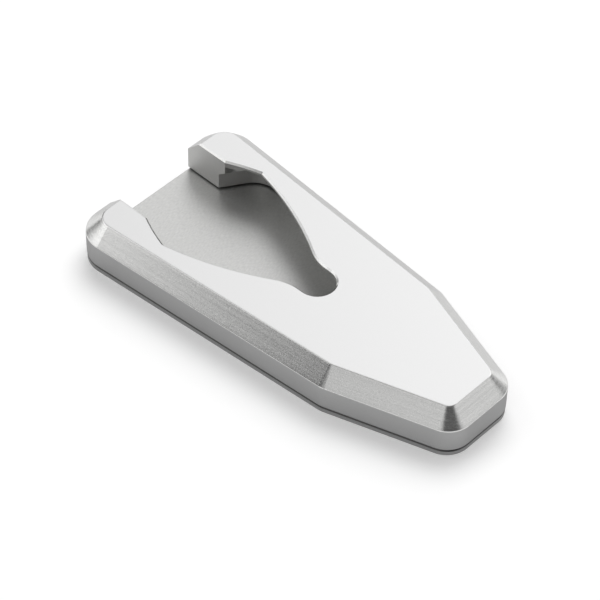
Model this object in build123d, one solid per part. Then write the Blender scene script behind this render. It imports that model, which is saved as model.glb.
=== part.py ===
from build123d import *
from math import cos, atan, radians, tan
import os

# Kickstand foot enlarger: a milled aluminium block that spreads the load of a motorbike's stand.
# The stand's foot lies in a pocket milled into the block from below, its leg stands up through
# the keyhole opening in the top, and a steel plate screwed on from below clamps the foot.
# X runs to the nose, Z up. The origin is on the ground, under the middle of the length.

# Outline of the block, seen from above
overall_length = 124.0
rear_width = 60.8
bend_from_rear = 88.0
bend_width = 47.3
nose_width = 23.4
rear_corner_radius = 9.3
bend_radius = 8.0
nose_corner_radius = 7.6

# Height and outer edges of the block
block_height = 12.5
shoulder_chamfer = 4.8
shoulder_edge_radius = 0.5
block_foot_break = 0.6

# Opening in the top: mouth, flare, guide curve and slot
mouth_width = 30.2
flare_from_rear = 14.7
flare_radius = 65.0
flare_corner_from_rear = 25.2
flare_corner_width = 38.2
flare_corner_radius = 1.0
guide_radius = 100.0
throat_from_rear = 58.8
throat_radius = 13.5
slot_width = 10.5
slot_centre_from_rear = 64.2
opening_edge_break = 0.5

# Pocket for the stand's foot, with a bevelled shoulder under a thin lip
lip_thickness = 1.2
pocket_bevel = 5.5
heel_from_rear = 12.2
heel_angle = 57.5
heel_relief_lip = 2.2
heel_relief_radius = 1.5
pocket_wall = 2.9
pocket_corner_radius = 8.0
pocket_taper_from_rear = 34.0
pocket_taper_radius = 20.0
pocket_ahead_of_slot = 8.0
pocket_nose_width = 20.0
pocket_nose_radius = 9.0

# Base plate
plate_thickness = 2.0
plate_inset = 0.1
plate_top_break = 0.3
plate_bottom_break = 0.4

# Countersunk screws
thread_diameter = 3.0
screw_length = 8.0
screw_tip_chamfer = 0.5
head_diameter = 6.0
head_rim = 0.2
socket_across_flats = 2.0
socket_depth = 1.1
socket_point_depth = 0.4

# Screw holes and where they sit
head_sink = 0.1
shank_clearance = 0.25
tapped_depth = 7.0
drill_point_angle = 118.0
tapped_hole_break = 0.3
screw_edge_distance = 6.5
rear_screw_from_rear = 7.0
middle_screw_from_rear = 68.0
nose_screw_from_nose = 20.0

# Length by which a cutter runs past the face that it leaves
cutter_overrun = 2.0

# Sizes that follow from the ones above
rear_x = -overall_length / 2
nose_x = overall_length / 2
block_bottom = plate_thickness
block_top = block_bottom + block_height
pocket_depth = block_height - lip_thickness
half_mouth = mouth_width / 2
half_slot = slot_width / 2
thread_radius = thread_diameter / 2
head_radius = head_diameter / 2
side_slope = (rear_width - bend_width) / 2 / bend_from_rear
side_angle = atan(side_slope)
heel_slope = tan(radians(heel_angle))


def from_rear(distance):
    """X of a place, given its distance from the open rear edge."""
    return rear_x + distance


def side_of_block(distance, depth=0.0):
    """Y of the tapering side at a distance from the rear, or of a line at a depth inside it."""
    return rear_width / 2 - side_slope * distance - depth / cos(side_angle)


def mirrored_outline(half_points, half_radii):
    """Outline through the mirror images of the +Y side's points, to the front, and back."""
    near_side = [(x, -y) for x, y in half_points]
    far_side = half_points[::-1]
    radii = half_radii + half_radii[::-1]
    return FilletPolyline(*near_side, *far_side, radius=radii, close=True)


def block_outline():
    """Block seen from above: two tapering sides, two slanted sides and a flat nose."""
    half_points = [
        (rear_x, rear_width / 2),
        (from_rear(bend_from_rear), bend_width / 2),
        (nose_x, nose_width / 2),
    ]
    half_radii = [rear_corner_radius, bend_radius, nose_corner_radius]
    with BuildSketch() as outline:
        with BuildLine():
            mirrored_outline(half_points, half_radii)
        make_face()
    return outline.sketch


def round_corners_at(outline, x, radius):
    """Round the outline's two corners that lie at one X."""
    corners = [corner for corner in outline.vertices() if abs(corner.X - x) < radius / 100]
    fillet(corners, radius)


def opening_outline():
    """Keyhole opening: straight mouth, outward flare, guide curve to the throat, round slot."""
    mouth_start = (rear_x - cutter_overrun, half_mouth)
    flare_start = (from_rear(flare_from_rear), half_mouth)
    flare_corner = (from_rear(flare_corner_from_rear), flare_corner_width / 2)
    throat = (from_rear(throat_from_rear), half_slot)
    slot_round_start = (from_rear(slot_centre_from_rear), half_slot)
    slot_end = (from_rear(slot_centre_from_rear) + half_slot, 0)
    with BuildSketch() as outline:
        with BuildLine():
            Line((mouth_start[0], 0), mouth_start)
            Line(mouth_start, flare_start)
            RadiusArc(flare_start, flare_corner, flare_radius)
            RadiusArc(flare_corner, throat, guide_radius)
            Line(throat, slot_round_start)
            TangentArc(slot_round_start, slot_end, tangent=(1, 0))
            mirror(about=Plane.XZ)
        make_face()
        round_corners_at(outline, flare_corner[0], flare_corner_radius)
        round_corners_at(outline, throat[0], throat_radius)
    return outline.sketch


def pocket_outline():
    """Pocket for the stand's foot: slanted heel, side beside the block's own, tapered nose."""
    heel_start = from_rear(heel_from_rear) - cutter_overrun / heel_slope
    side_at_rear = side_of_block(0.0, pocket_wall)
    rise_to_side = side_at_rear - half_mouth + heel_slope * heel_from_rear
    corner_from_rear = rise_to_side / (heel_slope + side_slope)
    front = from_rear(slot_centre_from_rear) + half_slot + pocket_ahead_of_slot
    half_points = [
        (heel_start, half_mouth - cutter_overrun),
        (from_rear(corner_from_rear), side_of_block(corner_from_rear, pocket_wall)),
        (from_rear(pocket_taper_from_rear), side_of_block(pocket_taper_from_rear, pocket_wall)),
        (front, pocket_nose_width / 2),
    ]
    half_radii = [0, pocket_corner_radius, pocket_taper_radius, pocket_nose_radius]
    with BuildSketch() as outline:
        with BuildLine():
            mirrored_outline(half_points, half_radii)
        make_face()
    return outline.sketch


def foot_pocket():
    """Space milled out from below: upright wall, then a 45 degree bevel in to the lip."""
    wall_height = pocket_depth - pocket_bevel
    with BuildPart() as pocket:
        with BuildSketch(Plane.XY.offset(block_bottom)):
            add(pocket_outline())
        extrude(amount=wall_height)
        with BuildSketch(Plane.XY.offset(block_bottom + wall_height)):
            add(pocket_outline())
        extrude(amount=pocket_bevel, taper=45)
    return pocket.part


def heel_relief():
    """Straight recess from below, as long and as wide as the flare, ahead of the heel's bevel."""
    start = from_rear(flare_from_rear)
    end = from_rear(flare_corner_from_rear)
    with BuildPart() as relief:
        with BuildSketch(Plane.XY.offset(block_bottom)):
            with Locations(((start + end) / 2, 0)):
                RectangleRounded(end - start, flare_corner_width, heel_relief_radius)
        extrude(amount=block_height - heel_relief_lip)
    return relief.part


def screw_places():
    """Screw centres: one in each rear arm, one on each side of the pocket, one in the nose."""
    places = [(nose_x - nose_screw_from_nose, 0)]
    for distance in (rear_screw_from_rear, middle_screw_from_rear):
        y = side_of_block(distance, screw_edge_distance)
        places += [(from_rear(distance), y), (from_rear(distance), -y)]
    return places


def block_blank():
    """Block before its opening: outline, with a shoulder chamfer all round the top."""
    with BuildPart() as blank:
        with BuildSketch(Plane.XY.offset(block_bottom)):
            add(block_outline())
        extrude(amount=block_height)
        top_edges = blank.faces().sort_by(Axis.Z)[-1].edges()
        chamfer(top_edges, shoulder_chamfer)
        top_edges = blank.faces().sort_by(Axis.Z)[-1].edges()
        shoulder_foot = block_top - shoulder_chamfer
        foot_edges = blank.edges().filter_by_position(Axis.Z, shoulder_foot, shoulder_foot)
        fillet(top_edges + foot_edges, shoulder_edge_radius)
    return blank.part


def tapped_hole():
    """Blind hole for one screw, upwards from z = 0: broken entry edge, bore, drill point."""
    point_height = thread_radius / tan(radians(drill_point_angle / 2))
    entry_radius = thread_radius + tapped_hole_break
    with BuildPart() as hole:
        with BuildSketch(Plane.XZ):
            with BuildLine():
                Polyline(
                    (0, -cutter_overrun),
                    (entry_radius, -cutter_overrun),
                    (entry_radius, 0),
                    (thread_radius, tapped_hole_break),
                    (thread_radius, tapped_depth),
                    (0, tapped_depth + point_height),
                    close=True,
                )
            make_face()
        revolve(axis=Axis.Z)
    return hole.part


def upper_body():
    """Milled block: opening, undercut pocket with its relief, broken foot edges, tapped holes."""
    with BuildPart() as body:
        add(block_blank())
        with BuildSketch(Plane.XY.offset(block_bottom)):
            add(opening_outline())
        extrude(amount=block_height, mode=Mode.SUBTRACT)
        with BuildSketch(Plane.XY.offset(block_top - opening_edge_break)):
            add(opening_outline())
        extrude(amount=opening_edge_break, taper=-45, mode=Mode.SUBTRACT)
        add(foot_pocket(), mode=Mode.SUBTRACT)
        bottom_edges = body.faces().sort_by(Axis.Z)[0].edges()
        chamfer(bottom_edges, block_foot_break)
        add(heel_relief(), mode=Mode.SUBTRACT)
        with Locations(*[(x, y, block_bottom) for x, y in screw_places()]):
            add(tapped_hole(), mode=Mode.SUBTRACT)
    return body.part


def plate_hole():
    """Countersink that the screw head seats in, and the clearance hole above it."""
    hole_radius = thread_radius + shank_clearance
    mouth_radius = head_radius + head_rim + head_sink
    with BuildPart() as hole:
        with BuildSketch(Plane.XZ):
            with BuildLine():
                Polyline(
                    (0, -cutter_overrun),
                    (mouth_radius + cutter_overrun, -cutter_overrun),
                    (mouth_radius, 0),
                    (hole_radius, mouth_radius - hole_radius),
                    (hole_radius, plate_thickness + cutter_overrun),
                    (0, plate_thickness + cutter_overrun),
                    close=True,
                )
            make_face()
        revolve(axis=Axis.Z)
    return hole.part


def base_plate():
    """Flat plate a little smaller than the block, with broken edges and countersunk holes."""
    with BuildPart() as plate:
        with BuildSketch():
            add(block_outline())
            offset(amount=-plate_inset, mode=Mode.REPLACE)
        extrude(amount=plate_thickness)
        chamfer(plate.faces().sort_by(Axis.Z)[0].edges(), plate_bottom_break)
        chamfer(plate.faces().sort_by(Axis.Z)[-1].edges(), plate_top_break)
        with Locations(*screw_places()):
            add(plate_hole(), mode=Mode.SUBTRACT)
    return plate.part


def countersunk_screw():
    """One screw standing on its flat head, with a hexagon socket and a 90 degree cone."""
    cone_top = head_rim + head_radius - thread_radius
    with BuildPart() as screw:
        with BuildSketch(Plane.XZ):
            with BuildLine():
                Polyline(
                    (0, 0),
                    (head_radius, 0),
                    (head_radius, head_rim),
                    (thread_radius, cone_top),
                    (thread_radius, screw_length - screw_tip_chamfer),
                    (thread_radius - screw_tip_chamfer, screw_length),
                    (0, screw_length),
                    close=True,
                )
            make_face()
        revolve(axis=Axis.Z)
        with BuildSketch():
            RegularPolygon(socket_across_flats / 2, 6, major_radius=False)
        extrude(amount=socket_depth, mode=Mode.SUBTRACT)
        with Locations((0, 0, socket_depth)):
            Cone(
                bottom_radius=socket_across_flats / 2,
                top_radius=0,
                height=socket_point_depth,
                align=(Align.CENTER, Align.CENTER, Align.MIN),
                mode=Mode.SUBTRACT,
            )
    return screw.part


def base_screws():
    """The screws in their holes, heads down and a little below the plate's face."""
    return Compound([Pos(x, y, head_sink) * countersunk_screw() for x, y in screw_places()])


os.makedirs("parts", exist_ok=True)
export_step(upper_body(), "parts/upper_body.step")
export_step(base_plate(), "parts/base_plate.step")
export_step(base_screws(), "parts/base_screws.step")
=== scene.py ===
"""Looks of a kickstand foot enlarger: a milled aluminium block screwed to a flat steel plate.

The block and the plate stay as they are and get their machined finishes here. The screws are
made anew with their real helical threads. A plain pale floor, soft studio light and the camera
complete the scene. All lengths are in metres unless a name says otherwise.
"""

import logging
import math
from dataclasses import dataclass, field
from enum import Enum
from typing import Any, Mapping, Union

import bmesh
import bpy
import numpy as np
from mathutils import Matrix, Vector


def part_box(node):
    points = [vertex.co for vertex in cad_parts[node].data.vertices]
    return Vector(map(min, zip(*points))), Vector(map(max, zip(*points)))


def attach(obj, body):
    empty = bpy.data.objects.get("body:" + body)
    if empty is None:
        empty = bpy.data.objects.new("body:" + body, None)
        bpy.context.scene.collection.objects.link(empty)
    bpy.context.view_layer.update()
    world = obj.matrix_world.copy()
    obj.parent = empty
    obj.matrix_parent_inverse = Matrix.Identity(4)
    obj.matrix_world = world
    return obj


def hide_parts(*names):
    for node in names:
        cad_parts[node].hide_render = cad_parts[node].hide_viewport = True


log = logging.getLogger("foot_enlarger")
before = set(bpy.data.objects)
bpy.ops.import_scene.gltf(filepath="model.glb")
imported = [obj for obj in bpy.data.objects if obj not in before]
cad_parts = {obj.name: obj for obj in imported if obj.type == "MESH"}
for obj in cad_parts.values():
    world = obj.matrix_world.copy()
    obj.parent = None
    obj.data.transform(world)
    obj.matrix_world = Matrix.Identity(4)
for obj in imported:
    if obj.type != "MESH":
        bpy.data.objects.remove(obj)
bpy.context.view_layer.update()

MILLIMETRE = 0.001
MICROMETRE = 0.001 * MILLIMETRE

Colour = tuple[float, float, float]
Term = Union["Value", float]


@dataclass(frozen=True)
class Value:
    """A shader number that can be used in Python expressions. Each operator adds a Math node."""

    graph: "Graph"
    socket: bpy.types.NodeSocket

    def __add__(self, other: Term) -> "Value":
        """Sum."""
        return self.graph.math("ADD", self, other)

    def __radd__(self, other: Term) -> "Value":
        """Sum with the number on the left."""
        return self.graph.math("ADD", other, self)

    def __sub__(self, other: Term) -> "Value":
        """Difference."""
        return self.graph.math("SUBTRACT", self, other)

    def __rsub__(self, other: Term) -> "Value":
        """Difference with the number on the left, as in 1 - mask."""
        return self.graph.math("SUBTRACT", other, self)

    def __mul__(self, other: Term) -> "Value":
        """Product."""
        return self.graph.math("MULTIPLY", self, other)

    def __rmul__(self, other: Term) -> "Value":
        """Product with the number on the left."""
        return self.graph.math("MULTIPLY", other, self)

    def __truediv__(self, other: Term) -> "Value":
        """Quotient."""
        return self.graph.math("DIVIDE", self, other)

    def __abs__(self) -> "Value":
        """Size without sign."""
        return self.graph.math("ABSOLUTE", self)


class Graph:
    """A node tree under construction, with one method for every kind of node."""

    def __init__(self, tree: bpy.types.NodeTree) -> None:
        """Empty the tree and start a new one."""
        self.tree = tree
        tree.nodes.clear()

    def node(
        self,
        kind: str,
        settings: Mapping[str, Any] | None = None,
        inputs: Mapping[Union[str, int], Any] | None = None,
    ) -> bpy.types.Node:
        """Add one node.

        Args:
            kind: The node's type, such as ShaderNodeMath.
            settings: Properties set before anything is linked.
            inputs: Values or links for its sockets, by name or by number.

        Returns:
            The new node.
        """
        made = self.tree.nodes.new(kind)
        for name, value in (settings or {}).items():
            setattr(made, name, value)
        for name, value in (inputs or {}).items():
            self.feed(made.inputs[name], value)
        return made

    def feed(self, socket: bpy.types.NodeSocket, value: Any) -> None:
        """Link a socket to what drives it, or set its constant.

        Args:
            socket: The input socket.
            value: A number, vector or colour, or the value or socket that drives it.
        """
        if isinstance(value, Value):
            self.tree.links.new(value.socket, socket)
        elif isinstance(value, bpy.types.NodeSocket):
            self.tree.links.new(value, socket)
        else:
            socket.default_value = value

    def math(self, operation: str, *terms: Term) -> Value:
        """Add a Math node.

        Args:
            operation: What it does.
            terms: Its operands, in order.

        Returns:
            Its result.
        """
        inputs = dict(enumerate(terms))
        made = self.node("ShaderNodeMath", {"operation": operation}, inputs)
        return Value(self, made.outputs[0])

    def ramp(self, value: Term, start: float, end: float) -> Value:
        """Rise smoothly from 0 to 1.

        Args:
            value: What the ramp follows.
            start: Where the result is 0.
            end: Where the result is 1, which may be below start.

        Returns:
            A number from 0 to 1.
        """
        inputs = {"Value": value, "From Min": start, "From Max": end}
        made = self.node("ShaderNodeMapRange", {"interpolation_type": "SMOOTHSTEP"}, inputs)
        return Value(self, made.outputs["Result"])

    def blend(self, share: Term, start: Any, end: Any) -> bpy.types.NodeSocket:
        """Mix two colours.

        The Mix node has sockets for each kind of value, and only their numbers tell them apart.

        Args:
            share: 0 for the first colour, 1 for the second.
            start: The first colour.
            end: The second colour.

        Returns:
            The mixed colour.
        """
        made = self.node("ShaderNodeMix", {"data_type": "RGBA"})
        self.feed(made.inputs[0], share)
        self.feed(made.inputs[6], rgba(start))
        self.feed(made.inputs[7], rgba(end))
        return made.outputs[2]

    def scale(self, colour: bpy.types.NodeSocket, factor: Term) -> bpy.types.NodeSocket:
        """Multiply a colour by one number."""
        inputs = {0: colour, "Scale": factor}
        return self.node("ShaderNodeVectorMath", {"operation": "SCALE"}, inputs).outputs[0]

    def parts(self, vector: bpy.types.NodeSocket) -> tuple[Value, Value, Value]:
        """Split a vector into its three numbers."""
        made = self.node("ShaderNodeSeparateXYZ", inputs={0: vector})
        return tuple(Value(self, output) for output in made.outputs)

    def vector(self, x: Term, y: Term, z: Term) -> bpy.types.NodeSocket:
        """Join three numbers into a vector."""
        return self.node("ShaderNodeCombineXYZ", inputs={0: x, 1: y, 2: z}).outputs[0]

    def noise(self, x: Term, y: Term, z: Term, detail: float = 2.0) -> Value:
        """Add a smooth random field.

        Args:
            x: Place along X, in grains.
            y: Place along Y, in grains.
            z: Place along Z, in grains.
            detail: How many finer layers are added.

        Returns:
            A random number between about -1 and 1.
        """
        inputs = {"Vector": self.vector(x, y, z), "Scale": 1.0, "Detail": detail}
        made = self.node("ShaderNodeTexNoise", inputs=inputs)
        return (Value(self, made.outputs["Fac"]) - 0.5) * 2.0


def rgba(colour: Any) -> Any:
    """Give a plain colour its alpha of 1, and leave a socket as it is."""
    return (*colour, 1.0) if isinstance(colour, tuple) and len(colour) == 3 else colour


@dataclass(frozen=True)
class Metal:
    """A metal material under construction, with the surface point that it shades.

    Args:
        material: The Blender material.
        graph: Its node tree.
        shader: Its Principled node.
        place: X, Y and Z of the point in object coordinates.
        normal: The three parts of the surface normal.
    """

    material: bpy.types.Material
    graph: Graph
    shader: bpy.types.Node
    place: tuple[Value, Value, Value]
    normal: tuple[Value, Value, Value]

    @classmethod
    def start(cls, name: str, edge_tint: float) -> "Metal":
        """Start a metal.

        Args:
            name: The material's name.
            edge_tint: Share of the light that the metal keeps at grazing angles.

        Returns:
            The metal, with its shader wired to the output.
        """
        material = bpy.data.materials.new(name)
        material.use_nodes = True
        graph = Graph(material.node_tree)
        tint = (edge_tint, edge_tint, edge_tint, 1.0)
        inputs = {"Metallic": 1.0, "Specular Tint": tint}
        shader = graph.node("ShaderNodeBsdfPrincipled", inputs=inputs)
        graph.node("ShaderNodeOutputMaterial", inputs={"Surface": shader.outputs[0]})
        place = graph.parts(graph.node("ShaderNodeTexCoord").outputs["Object"])
        normal = graph.parts(graph.node("ShaderNodeNewGeometry").outputs["Normal"])
        return cls(material, graph, shader, place, normal)

    def finish(self, colour: Any, roughness: Term, height: Value, depth: float) -> None:
        """Feed the shader.

        Args:
            colour: Base colour.
            roughness: Roughness.
            height: Relief of the marks, where 1 is the full depth.
            depth: Depth of the marks.
        """
        inputs = {"Strength": 1.0, "Distance": depth, "Height": height}
        bump = self.graph.node("ShaderNodeBump", inputs=inputs)
        self.graph.feed(self.shader.inputs["Base Color"], colour)
        self.graph.feed(self.shader.inputs["Roughness"], roughness)
        self.graph.feed(self.shader.inputs["Normal"], bump.outputs[0])


class Face(Enum):
    """The machined faces of the block, told apart by how they tilt and face."""

    WALL = "wall"
    OPENING = "opening"
    CHAMFER = "chamfer"
    TOP = "top"


@dataclass(frozen=True)
class Texture:
    """One face's surface: its colour, its gloss and the marks that the tool left.

    Args:
        colour: Linear colour of the bare metal.
        roughness: Mean roughness.
        grain: How far the marks darken and lighten the colour, as a share.
        relief: Strength of the marks in the surface's normal.
    """

    colour: Colour
    roughness: float
    grain: float
    relief: float


@dataclass(frozen=True)
class MarkField:
    """Tool marks: long lines along the cut, the passes of the cutter, and a fine speckle.

    Args:
        line_length: Length of a fine line.
        line_width: Width of a fine line.
        pass_length: Length of one pass of the cutter.
        pass_width: Width of one pass.
        speckle_size: Size of one grain of the speckle.
        speckle_detail: Finer layers within the speckle.
        line_share: Strength of the lines.
        pass_share: Strength of the passes.
        speckle_share: Strength of the speckle.
        tilt_step: How far a face's tilt shifts its passes against those of other faces.
    """

    line_length: float = 2.2 * MILLIMETRE
    line_width: float = 0.20 * MILLIMETRE
    pass_length: float = 40.0 * MILLIMETRE
    pass_width: float = 0.36 * MILLIMETRE
    speckle_size: float = 0.22 * MILLIMETRE
    speckle_detail: float = 3.0
    line_share: float = 0.12
    pass_share: float = 0.45
    speckle_share: float = 1.5
    tilt_step: float = 9.0

    def cut(self, metal: Metal) -> Value:
        """Lines and passes of a face that leans away from Z.

        The cut runs level, along the tangent (-ny, nx, 0), so the place along it is the dot
        product of the position and that tangent, and the place across it is the height. A trace
        is added under the root, so that a level face doesn't divide by nothing.

        Args:
            metal: The metal that gets the marks.

        Returns:
            A random number between about -1 and 1.
        """
        x, y, z = metal.place
        normal_x, normal_y, _ = metal.normal
        trace = 1e-6
        level = metal.graph.math("SQRT", normal_x * normal_x + normal_y * normal_y + trace)
        run = (y * normal_x - x * normal_y) / level
        lines = metal.graph.noise(run / self.line_length, z / self.line_width, level)
        shift = level * self.tilt_step
        passes = metal.graph.noise(run / self.pass_length, z / self.pass_width, shift)
        return lines * self.line_share + passes * self.pass_share

    def speckle(self, metal: Metal) -> Value:
        """Fine grains, as large in every direction."""
        grains = [part / self.speckle_size for part in metal.place]
        return metal.graph.noise(*grains, detail=self.speckle_detail) * self.speckle_share


@dataclass(frozen=True)
class MilledAluminium:
    """Clear anodised aluminium: satin top, milled chamfers and walls with marks along the cut. The
    walls carry painted shade in their darker colours, and the seam at the foot is painted dark.

    Args:
        name: The material's name.
        textures: The surface of each kind of face; the darker colours of the walls and the opening
            are painted shade.
        marks: The tool marks.
        depth: Depth of the marks.
        edge_tint: Share of the light that the metal keeps at grazing angles.
        painted_seam_shade: Painted shade of the seam: the colour share left on the broken edge at the
            foot.
        inward: Dot product of place and normal at which a wall belongs to the opening.
        chamfer_tilt: Z of the normal where a wall ends and where a chamfer is reached.
        top_tilt: Z of the normal where a chamfer ends and where the top is reached.
        foot_tilt: Z of the normal where a wall ends and where the foot's broken edge is reached.
        foot_height: Height above the block's foot at which the seam's shade ends.
        gloss_swing: Change of the roughness with the marks, as a share of their grain.
    """

    name: str = "clear_anodised_aluminium"
    textures: Mapping[Face, Texture] = field(
        default_factory=lambda: {
            # The walls and the opening are darker than the top and the chamfers of the same metal:
            # painted shade.
            Face.WALL: Texture(
                colour=(0.40, 0.40, 0.40), roughness=0.52, grain=0.05, relief=0.06
            ),
            Face.OPENING: Texture(
                colour=(0.55, 0.55, 0.54), roughness=0.52, grain=0.05, relief=0.06
            ),
            Face.CHAMFER: Texture(
                colour=(0.80, 0.80, 0.79), roughness=0.20, grain=0.30, relief=0.06
            ),
            Face.TOP: Texture(
                colour=(0.80, 0.80, 0.80), roughness=0.34, grain=0.035, relief=0.05
            ),
        }
    )
    marks: MarkField = MarkField()
    depth: float = 0.02 * MILLIMETRE
    edge_tint: float = 0.6
    painted_seam_shade: float = 0.03
    inward: float = -1.0 * MILLIMETRE
    chamfer_tilt: tuple[float, float] = (0.20, 0.42)
    top_tilt: tuple[float, float] = (0.86, 0.96)
    foot_tilt: tuple[float, float] = (-0.3, -0.6)
    foot_height: float = 1.2 * MILLIMETRE
    gloss_swing: float = 0.3

    def build(self) -> bpy.types.Material:
        """Make the material.

        Returns:
            A node material on object coordinates.
        """
        metal = Metal.start(self.name, self.edge_tint)
        graph = metal.graph
        x, y, z = metal.place
        normal_x, normal_y, tilt = metal.normal
        masks = {
            Face.OPENING: graph.ramp(x * normal_x + y * normal_y, 0.0, self.inward),
            Face.CHAMFER: graph.ramp(tilt, *self.chamfer_tilt),
            Face.TOP: graph.ramp(tilt, *self.top_tilt),
        }
        swing = self.marks.cut(metal) * (1.0 - masks[Face.TOP]) + self.marks.speckle(metal)
        grain = self.choose(masks, "grain")
        colour = self.textures[Face.WALL].colour
        for face, mask in masks.items():
            colour = graph.blend(mask, colour, self.textures[face].colour)
        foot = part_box("upper_body")[0].z
        # Painted shade: the broken edge at the foot, in the seam between block and plate, is darkened
        # nearly to black.
        seam_shade_mask = graph.ramp(tilt, *self.foot_tilt) * graph.ramp(z, foot + self.foot_height, foot)
        shade = (1.0 + swing * grain) * (1.0 - seam_shade_mask * (1.0 - self.painted_seam_shade))
        roughness = self.choose(masks, "roughness") + swing * grain * self.gloss_swing
        height = swing * self.choose(masks, "relief")
        metal.finish(graph.scale(colour, shade), roughness, height, self.depth)
        return metal.material

    def choose(self, masks: Mapping[Face, Value], name: str) -> Term:
        """Pick one number of the textures by the face that the point is on.

        Args:
            masks: For each face but the wall, 1 on that face and 0 off it, in rising order.
            name: The texture's field.

        Returns:
            The number on the point's own face.
        """
        chosen: Term = getattr(self.textures[Face.WALL], name)
        for face, mask in masks.items():
            chosen = chosen + (getattr(self.textures[face], name) - chosen) * mask
        return chosen


@dataclass(frozen=True)
class RolledSteel:
    """Stainless sheet: faces with a fine rolled grain, and cut edges made darker as painted shade.

    Args:
        name: The material's name.
        face: Surface of the flat faces.
        edge: Surface of the cut edges, whose darker colour is painted shade.
        grain_length: Length of a grain along the rolling direction.
        grain_width: Width of a grain.
        grain_detail: Finer layers within the grain.
        depth: Depth of the grain.
        edge_tint: Share of the light that the metal keeps at grazing angles.
        painted_break_shade: Painted shade of the seam: the colour share left on the broken upper
            edge.
        flat_tilt: Size of the normal's Z where a cut edge ends and where a flat face is reached.
        break_from: Z of the normal where a cut edge ends and where the broken edge is reached.
        break_to: Z of the normal where the flat face ends and where the broken edge is reached.
        gloss_swing: Change of the roughness with the grain.
    """

    name: str = "brushed_plate_steel"
    face: Texture = Texture(colour=(0.70, 0.70, 0.69), roughness=0.43, grain=0.26, relief=0.5)
    # The cut edges' colour is painted shade, far darker than the faces of the same steel.
    edge: Texture = Texture(colour=(0.31, 0.31, 0.31), roughness=0.34, grain=0.12, relief=0.3)
    grain_length: float = 1.1 * MILLIMETRE
    grain_width: float = 0.22 * MILLIMETRE
    grain_detail: float = 3.0
    depth: float = 0.004 * MILLIMETRE
    edge_tint: float = 0.8
    painted_break_shade: float = 0.2
    flat_tilt: tuple[float, float] = (0.3, 0.9)
    break_from: tuple[float, float] = (0.3, 0.6)
    break_to: tuple[float, float] = (0.98, 0.85)
    gloss_swing: float = 0.04

    def build(self) -> bpy.types.Material:
        """Make the material.

        Returns:
            A node material on object coordinates.
        """
        metal = Metal.start(self.name, self.edge_tint)
        graph = metal.graph
        x, y, z = metal.place
        tilt = metal.normal[2]
        flat = graph.ramp(abs(tilt), *self.flat_tilt)
        grains = [x / self.grain_width, y / self.grain_length, z / self.grain_width]
        fine = graph.noise(*grains, detail=self.grain_detail)
        shade = 1.0 + fine * (self.edge.grain + (self.face.grain - self.edge.grain) * flat)
        # Painted shade: the broken upper edge, which lies in the seam under the block, is darkened.
        broken = graph.ramp(tilt, *self.break_from) * graph.ramp(tilt, *self.break_to)
        shade = shade * (1.0 - broken * (1.0 - self.painted_break_shade))
        colour = graph.scale(graph.blend(flat, self.edge.colour, self.face.colour), shade)
        roughness = self.edge.roughness + (self.face.roughness - self.edge.roughness) * flat
        roughness = roughness + fine * self.gloss_swing
        metal.finish(colour, roughness, fine * self.face.relief, self.depth)
        return metal.material


@dataclass(frozen=True)
class TurnedSteel:
    """Plain stainless of a turned screw, with fine rings round its axis.

    Args:
        name: The material's name.
        colour: Linear colour of the bare metal.
        roughness: Mean roughness.
        ring_pitch: Distance between two rings.
        patch_size: Distance over which the rings change across the axis.
        grain: How far the rings change the colour and the roughness.
        depth: Depth of the rings.
        edge_tint: Share of the light that the metal keeps at grazing angles.
    """

    name: str = "screw_steel"
    colour: Colour = (0.56, 0.56, 0.55)
    roughness: float = 0.25
    ring_pitch: float = 0.09 * MILLIMETRE
    patch_size: float = 1.4 * MILLIMETRE
    grain: float = 0.08
    depth: float = 0.003 * MILLIMETRE
    edge_tint: float = 0.9

    def build(self) -> bpy.types.Material:
        """Make the material.

        Returns:
            A node material on object coordinates.
        """
        metal = Metal.start(self.name, self.edge_tint)
        graph = metal.graph
        x, y, z = metal.place
        rings = graph.noise(x / self.patch_size, y / self.patch_size, z / self.ring_pitch)
        tone = graph.vector(*[part * (1.0 + rings * self.grain) for part in self.colour])
        metal.finish(tone, self.roughness + rings * self.grain, rings, self.depth)
        return metal.material


@dataclass(frozen=True)
class Panel:
    """A soft light panel, given by where it stands as seen from the object.

    Args:
        bearing: Direction of its middle in degrees, from +X towards +Y.
        half_width: Half the width of its even part in degrees.
        low: Elevation of the lower end of its even part in degrees.
        high: Elevation of the upper end in degrees.
        strength: Brightness, where 1 is white.
        side_fade: Width over which it fades sideways, in degrees.
        end_fade: Height over which it fades at its lower and upper end, in degrees.
    """

    bearing: float
    half_width: float
    low: float
    high: float
    strength: float
    side_fade: float
    end_fade: float = 9.0

    def build(self, graph: Graph, bearing: Value, elevation: Value) -> Value:
        """Work out the panel's brightness in one direction.

        Args:
            graph: The node tree of the world.
            bearing: The direction's bearing in degrees.
            elevation: The direction's elevation in degrees.

        Returns:
            The brightness.
        """
        aside = abs(graph.math("WRAP", bearing - self.bearing, 180.0, -180.0))
        inside = graph.ramp(aside, self.half_width + self.side_fade, self.half_width)
        above = graph.ramp(elevation, self.low - self.end_fade, self.low)
        below = graph.ramp(elevation, self.high + self.end_fade, self.high)
        return inside * above * below * self.strength


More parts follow.
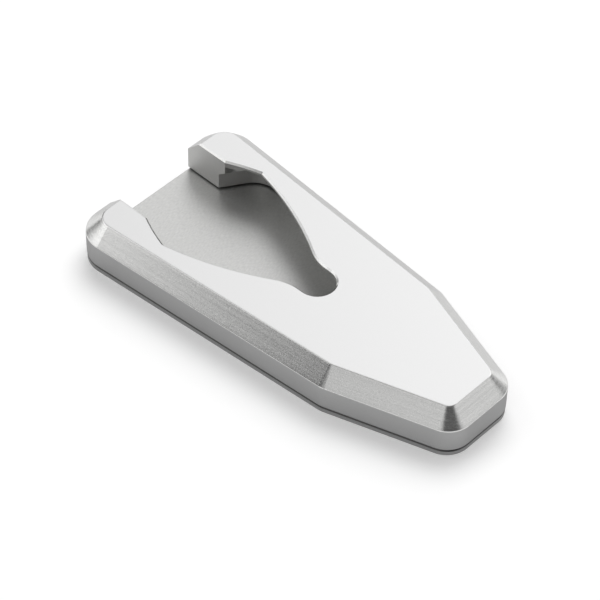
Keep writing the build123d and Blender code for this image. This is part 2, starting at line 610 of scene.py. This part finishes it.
@dataclass(frozen=True)
class StudioDome:
    """The studio round the object: a dim room, a pale horizon and soft panels.

    Args:
        room: Brightness of the room between the panels.
        horizon: Brightness of the pale background at the horizon.
        horizon_top: Elevation up to which the background is even, in degrees.
        horizon_fade: Height over which it fades into the room, in degrees.
        flag: The black card behind the open rear edge; its strength is the share it takes away.
        panels: The light panels.
    """

    room: float = 0.125
    horizon: float = 0.80
    horizon_top: float = 1.0
    horizon_fade: float = 16.0
    flag: Panel = Panel(
        bearing=180, half_width=14, low=-8, high=4, strength=0.95, side_fade=22, end_fade=6
    )
    panels: tuple[Panel, ...] = (
        # Ceiling
        Panel(bearing=0, half_width=180, low=70, high=90, strength=0.80, side_fade=1, end_fade=14),
        # Low wall on the near side, which the top shows when seen from behind
        Panel(bearing=-45, half_width=40, low=0, high=21, strength=0.85, side_fade=24, end_fade=8),
        # Wide panel behind, which the top and the far chamfers show
        Panel(bearing=100, half_width=15, low=26, high=56, strength=1.74, side_fade=75, end_fade=18),
        # Panel at the rear, which the long near chamfer shows fading towards the bend
        Panel(bearing=-150, half_width=26, low=29, high=40, strength=1.51, side_fade=12, end_fade=36),
        # Narrow panel, which the slanted near chamfer shows
        Panel(bearing=-82, half_width=7, low=24, high=64, strength=0.86, side_fade=21),
        # Panel past the nose, which the nose's chamfer shows
        Panel(bearing=28, half_width=11, low=16, high=40, strength=0.90, side_fade=26),
    )

    def build(self) -> bpy.types.World:
        """Make the world.

        Returns:
            The world, already set on the scene.
        """
        world = bpy.data.worlds.new("studio_dome")
        world.use_nodes = True
        graph = Graph(world.node_tree)
        x, y, z = graph.parts(graph.node("ShaderNodeTexCoord").outputs["Generated"])
        bearing = graph.math("DEGREES", graph.math("ARCTAN2", y, x))
        elevation = graph.math("DEGREES", graph.math("ARCSINE", z))
        light = graph.ramp(elevation, self.horizon_top + self.horizon_fade, self.horizon_top)
        light = light * (self.horizon - self.room) + self.room
        light = light * (1.0 - self.flag.build(graph, bearing, elevation))
        for panel in self.panels:
            light = graph.math("MAXIMUM", light, panel.build(graph, bearing, elevation))
        background = graph.node("ShaderNodeBackground", inputs={"Strength": light})
        graph.node("ShaderNodeOutputWorld", inputs={"Surface": background.outputs[0]})
        bpy.context.scene.world = world
        return world


@dataclass(frozen=True)
class KeyLamp:
    """The large soft lamp above and behind, which gives the object its shadow on the floor.

    It doesn't show in the metal, which mirrors the studio's panels and the floor.

    Args:
        bearing: Direction that it stands in, in degrees from +X towards +Y.
        elevation: Its height above the horizon in degrees.
        distance: How far away it stands.
        size: Its diameter.
        power: Its power in watts.
    """

    bearing: float = 122.0
    elevation: float = 55.0
    distance: float = 1.1
    size: float = 0.9
    power: float = 5.6

    def build(self) -> bpy.types.Object:
        """Make the lamp, aimed at the object.

        Returns:
            The lamp's object.
        """
        data = bpy.data.lights.new("key_lamp", "AREA")
        data.shape = "DISK"
        data.size = self.size
        data.energy = self.power
        lamp = bpy.data.objects.new("key_lamp", data)
        towards = direction(self.bearing, self.elevation)
        lamp.location = towards * self.distance
        lamp.rotation_euler = towards.to_track_quat("Z", "Y").to_euler()
        lamp.visible_glossy = False
        bpy.context.scene.collection.objects.link(lamp)
        return lamp


def direction(bearing: float, elevation: float) -> Vector:
    """Unit vector towards a bearing, from +X towards +Y, and an elevation, in degrees."""
    b, e = math.radians(bearing), math.radians(elevation)
    return Vector((math.cos(b) * math.cos(e), math.sin(b) * math.cos(e), math.sin(e)))


@dataclass(frozen=True)
class StudioFloor:
    """Plain pale floor. It keeps the object's shadow, and shows white where nothing shades it.

    Args:
        half_size: Half the side of the floor.
        paint: Colour of the paint, as other surfaces are lit by it.
        seen_paint: Colour of the paint for the camera and for what mirrors the floor.
        lift: Light added for the camera and for what mirrors the floor.
        cells: Squares along one side.
        drop: Gap under the object, so that the floor and the plate don't share one plane.
        grain_size: Size of the paint's grain.
        grain: How far the grain changes the colour, as a share.
    """

    half_size: float = 4.0
    paint: float = 0.80
    seen_paint: float = 0.84
    lift: float = 0.235
    cells: int = 8
    drop: float = 0.02 * MILLIMETRE
    grain_size: float = 2.0 * MILLIMETRE
    grain: float = 0.005

    def build(self) -> bpy.types.Object:
        """Make the floor: a flat square grid just under z = 0.

        Returns:
            The floor's object.
        """
        steps = np.linspace(-self.half_size, self.half_size, self.cells + 1)
        x, y = np.meshgrid(steps, steps, indexing="ij")
        floor = grid_object("studio_floor", np.stack([x, y, np.full_like(x, -self.drop)], axis=-1))
        floor.data.materials.append(self.material())
        return floor

    def material(self) -> bpy.types.Material:
        """White paint, whiter and a little lifted for what sees or mirrors it, clear from below.

        Returns:
            A node material on object coordinates.
        """
        material = bpy.data.materials.new("floor_paint")
        material.use_nodes = True
        graph = Graph(material.node_tree)
        place = graph.node("ShaderNodeTexCoord").outputs["Object"]
        grain = graph.noise(*[part / self.grain_size for part in graph.parts(place)])
        path = graph.node("ShaderNodeLightPath").outputs
        rays = [Value(graph, path[f"Is {kind} Ray"]) for kind in ("Camera", "Glossy", "Transmission")]
        seen = graph.math("MINIMUM", rays[0] + rays[1] + rays[2], 1.0)
        tone = (self.paint + seen * (self.seen_paint - self.paint)) * (1.0 + grain * self.grain)
        inputs = {"Color": graph.vector(tone, tone, tone)}
        paint = graph.node("ShaderNodeBsdfDiffuse", inputs=inputs)
        glow = graph.node("ShaderNodeEmission", inputs={"Strength": seen * self.lift})
        both = graph.node("ShaderNodeAddShader", inputs={0: paint.outputs[0], 1: glow.outputs[0]})
        below = graph.node("ShaderNodeNewGeometry").outputs["Backfacing"]
        clear = graph.node("ShaderNodeBsdfTransparent").outputs[0]
        sides = graph.node("ShaderNodeMixShader", inputs={0: below, 1: both.outputs[0], 2: clear})
        graph.node("ShaderNodeOutputMaterial", inputs={"Surface": sides.outputs[0]})
        return material


@dataclass(frozen=True)
class PhotoCamera:
    """The photograph's camera: a long lens that looks down on the near side and the nose.

    Args:
        azimuth: Angle by which the view is turned from +Y towards +X, in degrees.
        elevation: Height of the camera above the horizon, in degrees.
        roll: Tilt of the picture, in degrees.
        distance: Distance to the target.
        target: Point in the middle of the picture.
        lens: Focal length in millimetres.
        sensor: Width of the film in millimetres.
        nearest: Distance from which things are seen.
        farthest: Distance up to which things are seen.
    """

    azimuth: float = 42.697
    elevation: float = 47.203
    roll: float = 1.282
    distance: float = 0.7330
    target: Vector = Vector((-0.00533, 0.00163, 0.00009))
    lens: float = 161.696
    sensor: float = 36.0
    nearest: float = 0.05
    farthest: float = 50.0

    def build(self) -> bpy.types.Object:
        """Make the camera and set it on the scene.

        Returns:
            The camera's object.
        """
        data = bpy.data.cameras.new("photo_camera")
        data.lens = self.lens
        data.sensor_width = self.sensor
        data.clip_start = self.nearest
        data.clip_end = self.farthest
        back = direction(self.azimuth - 90.0, self.elevation)
        right = Vector((0.0, 0.0, 1.0)).cross(back).normalized()
        turned = Matrix.Rotation(math.radians(self.roll), 3, back) @ right
        above = back.cross(turned)
        axes = Matrix((turned, above, back)).transposed()
        camera = bpy.data.objects.new("photo_camera", data)
        camera.matrix_world = Matrix.Translation(self.target + back * self.distance) @ axes.to_4x4()
        bpy.context.scene.collection.objects.link(camera)
        bpy.context.scene.camera = camera
        return camera


def grid_object(name: str, *grids: np.ndarray, closed: bool = False) -> bpy.types.Object:
    """Make one mesh from one or more grids of points.

    Args:
        name: The object's name.
        grids: Arrays of points, rows by columns by X, Y and Z.
        closed: Whether the last column joins the first and each end shrinks to one point.

    Returns:
        The object, with its place in its mesh.
    """
    points, quads, used = [], [], 0
    for grid in grids:
        rows, columns, _ = grid.shape
        across = np.arange(columns if closed else columns - 1)
        first = used + np.arange(rows - 1)[:, None] * columns
        near, far = (first + across).ravel(), (first + (across + 1) % columns).ravel()
        quads.append(np.stack([near, near + columns, far + columns, far], axis=1))
        points.append(grid.reshape(-1, 3))
        used += rows * columns
    mesh = bpy.data.meshes.new(name)
    mesh.from_pydata(np.concatenate(points).tolist(), [], np.concatenate(quads).tolist())
    if closed:
        close_poles(mesh)
    made = bpy.data.objects.new(name, mesh)
    bpy.context.scene.collection.objects.link(made)
    return made


def close_poles(mesh: bpy.types.Mesh) -> None:
    """Merge the points that lie on one spot, and turn all faces outwards.

    Args:
        mesh: The mesh, changed in place.
    """
    work = bmesh.new()
    work.from_mesh(mesh)
    bmesh.ops.remove_doubles(work, verts=work.verts, dist=MICROMETRE)
    bmesh.ops.recalc_face_normals(work, faces=work.faces)
    work.to_mesh(mesh)
    work.free()


@dataclass
class CadPiece:
    """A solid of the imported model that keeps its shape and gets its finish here.

    Args:
        node: The solid's node.
        finish: Its finish.
    """

    node: str
    finish: Union[MilledAluminium, RolledSteel]

    def build(self) -> bpy.types.Object:
        """Assign the finish to the node's material slots.

        Returns:
            The node's object.
        """
        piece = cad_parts[self.node]
        material = self.finish.build()
        for slot in piece.material_slots:
            slot.material = material
        low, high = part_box(self.node)
        size = [round(value / MILLIMETRE, 1) for value in high - low]
        log.info("%s: %s mm, finished as %s", self.node, size, self.finish.name)
        return piece


@dataclass
class ThreadedScrews:
    """The countersunk socket screws of the base plate, with their real threads.

    Each screw is one surface of the angle round its axis and the place along its profile, which
    runs from the point of the socket, down its six walls, over the head and up the thread.

    Args:
        node: The CAD node that the screws stand for.
        diameter: Diameter over the thread.
        pitch: Height of one turn of the thread.
        thread_depth: Depth of the thread.
        head_diameter: Diameter of the head.
        head_rim: Height of the head's cylindrical rim.
        across_flats: Width of the hexagon socket across its flats.
        socket_depth: Depth of the socket's walls.
        socket_point: Depth of the cone at the socket's end.
        point_diameter: Width of that cone, a little under the socket's own.
        tip_chamfer: Size of the chamfer at the screw's tip.
        plain_neck: Length without thread under the head.
        columns: Points round the axis.
        rows_per_turn: Points along one turn of the thread.
        sharp_angle: Angle in degrees from which an edge shows as sharp.
        reach: Distance from a vertex within which all belong to its screw, in head diameters.
        finish: The screws' finish.
    """

    node: str = "base_screws"
    diameter: float = 3.0 * MILLIMETRE
    pitch: float = 0.5 * MILLIMETRE
    thread_depth: float = 0.3 * MILLIMETRE
    head_diameter: float = 6.0 * MILLIMETRE
    head_rim: float = 0.2 * MILLIMETRE
    across_flats: float = 2.0 * MILLIMETRE
    socket_depth: float = 1.1 * MILLIMETRE
    socket_point: float = 0.4 * MILLIMETRE
    point_diameter: float = 1.92 * MILLIMETRE
    tip_chamfer: float = 0.5 * MILLIMETRE
    plain_neck: float = 0.3 * MILLIMETRE
    columns: int = 60
    rows_per_turn: int = 12
    sharp_angle: float = 28.0
    reach: float = 1.1
    finish: TurnedSteel = TurnedSteel()

    def places(self) -> list[np.ndarray]:
        """Find each screw's axis from the CAD node.

        The first vertex that is left belongs to a screw, and so does each vertex within reach of
        it. The axis is in the middle of the box round them.

        Returns:
            X and Y of each axis.
        """
        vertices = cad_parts[self.node].data.vertices
        points = np.empty(len(vertices) * 3)
        vertices.foreach_get("co", points)
        left = points.reshape(-1, 3)[:, :2]
        found = []
        while len(left):
            mine = np.linalg.norm(left - left[0], axis=1) < self.head_diameter * self.reach
            found.append((left[mine].min(axis=0) + left[mine].max(axis=0)) / 2)
            left = left[~mine]
        return found

    def surface(self, base: float, tip: float) -> np.ndarray:
        """Work out the surface of a screw on the Z axis.

        The socket's wall lies at half the width across flats, divided by the cosine of the angle
        from the middle of its flat. The thread takes its depth, times a triangle wave of the
        height in turns less the angle in turns, off the radius. The wave fades over one turn at
        both ends of the thread.

        Args:
            base: Height of the head's flat face.
            tip: Height of the screw's tip.

        Returns:
            Points, rows by columns by X, Y and Z.
        """
        angle = np.linspace(0.0, 2 * np.pi, self.columns, endpoint=False)[None, :]
        flat = np.pi / 3
        hexagon = self.across_flats / 2 / np.cos(np.mod(angle, flat) - flat / 2)
        even = np.ones_like(angle)
        radius, head = self.diameter / 2, self.head_diameter / 2
        cone_top = base + self.head_rim + head - radius
        start, end = cone_top + self.plain_neck, tip - self.tip_chamfer
        turns = (end - start) / self.pitch
        height = np.linspace(start, end, round(turns * self.rows_per_turn))[:, None]
        wave = 2 * np.abs(np.mod(height / self.pitch - angle / (2 * np.pi), 1.0) - 0.5)
        fade = np.clip(np.minimum(height - start, end - height) / self.pitch, 0.0, 1.0)
        thread = radius - self.thread_depth * wave * fade
        floor = base + self.socket_depth
        before = [
            (0.0 * even, floor + self.socket_point),
            (self.point_diameter / 2 * even, floor),
            (hexagon, floor),
            (hexagon, base),
            (head * even, base),
            (head * even, base + self.head_rim),
            (radius * even, cone_top),
        ]
        after = [((radius - self.tip_chamfer) * even, tip), (0.0 * even, tip)]
        radii = np.concatenate([*[r for r, _ in before], thread, *[r for r, _ in after]])
        levels = [z for _, z in before] + height.ravel().tolist() + [z for _, z in after]
        z = np.broadcast_to(np.array(levels)[:, None], radii.shape)
        return np.stack([radii * np.cos(angle), radii * np.sin(angle), z], axis=-1)

    def build(self) -> bpy.types.Object:
        """Make the screws as one piece that stands for the CAD node.

        Returns:
            The screws' object.
        """
        low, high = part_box(self.node)
        screw = self.surface(low.z, high.z)
        placed = [screw + np.array([x, y, 0.0]) for x, y in self.places()]
        piece = grid_object("threaded_screws", *placed, closed=True)
        mesh = piece.data
        mesh.shade_smooth()
        mesh.set_sharp_from_angle(angle=math.radians(self.sharp_angle))
        mesh.materials.append(self.finish.build())
        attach(piece, "root")
        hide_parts(self.node)
        log.info("threaded_screws: %d screws of %d faces", len(placed), len(mesh.polygons))
        return piece


def main() -> None:
    """Build the camera, the studio and the object's pieces in order."""
    logging.basicConfig(level=logging.INFO, format="%(message)s")
    bpy.context.scene.view_settings.view_transform = "Standard"
    PhotoCamera().build()
    StudioFloor().build()
    StudioDome().build()
    KeyLamp().build()
    CadPiece("upper_body", MilledAluminium()).build()
    CadPiece("base_plate", RolledSteel()).build()
    ThreadedScrews().build()


if __name__ == "__main__":
    main()
